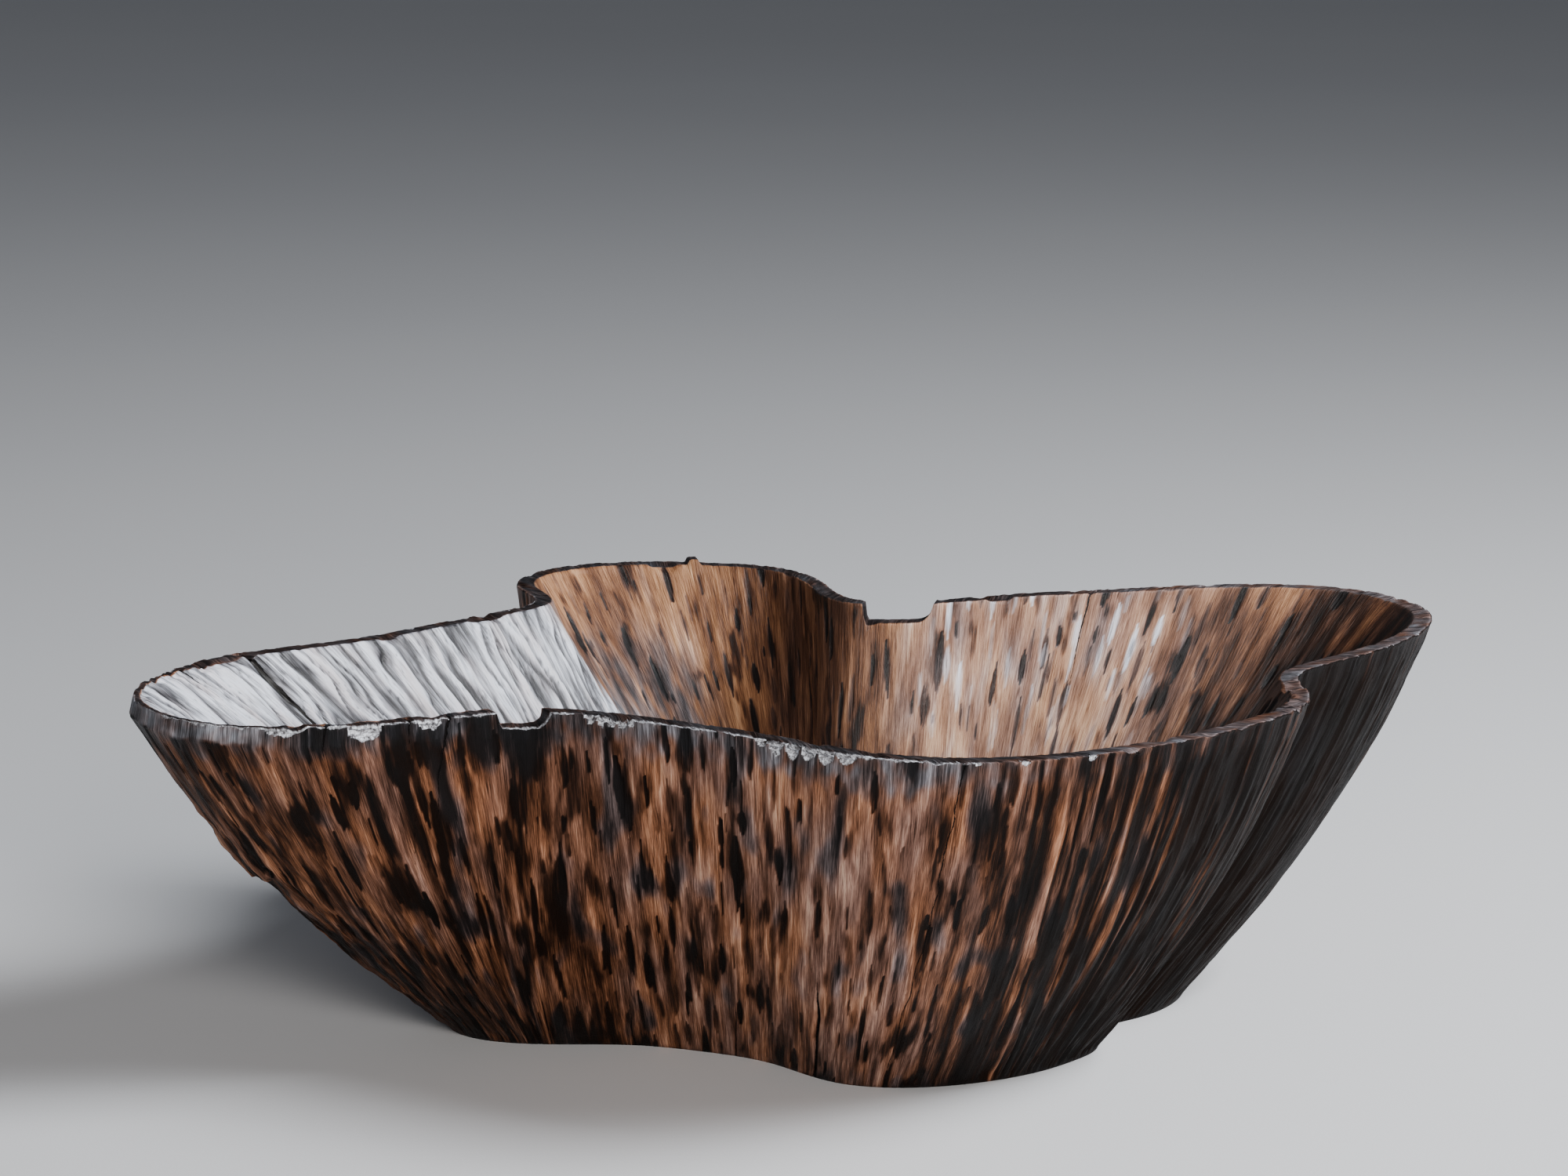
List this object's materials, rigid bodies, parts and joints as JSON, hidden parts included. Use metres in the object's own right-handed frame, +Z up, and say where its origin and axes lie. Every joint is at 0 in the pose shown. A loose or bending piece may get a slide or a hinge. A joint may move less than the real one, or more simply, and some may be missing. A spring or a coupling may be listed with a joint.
{
  "type": "carved wooden bowl",
  "caption": "Large free-form bowl carved from one piece of dark brushed wood, with flaring lobed walls, a thin worn rim and a flat foot.",
  "frame": {"origin": "on the surface the bowl stands on, under the middle of the rim's outline", "axes": "+Z up, +X along the long way of the bowl, -Y towards the front lobe"},
  "size_m": [0.4864, 0.3506, 0.145],
  "materials": {
    "bowl": "charred, brushed along the grain and waxed to a low sheen"
  },
  "bodies": {
    "root": {"bowl": "bowl"}
  },
  "joints": []
}
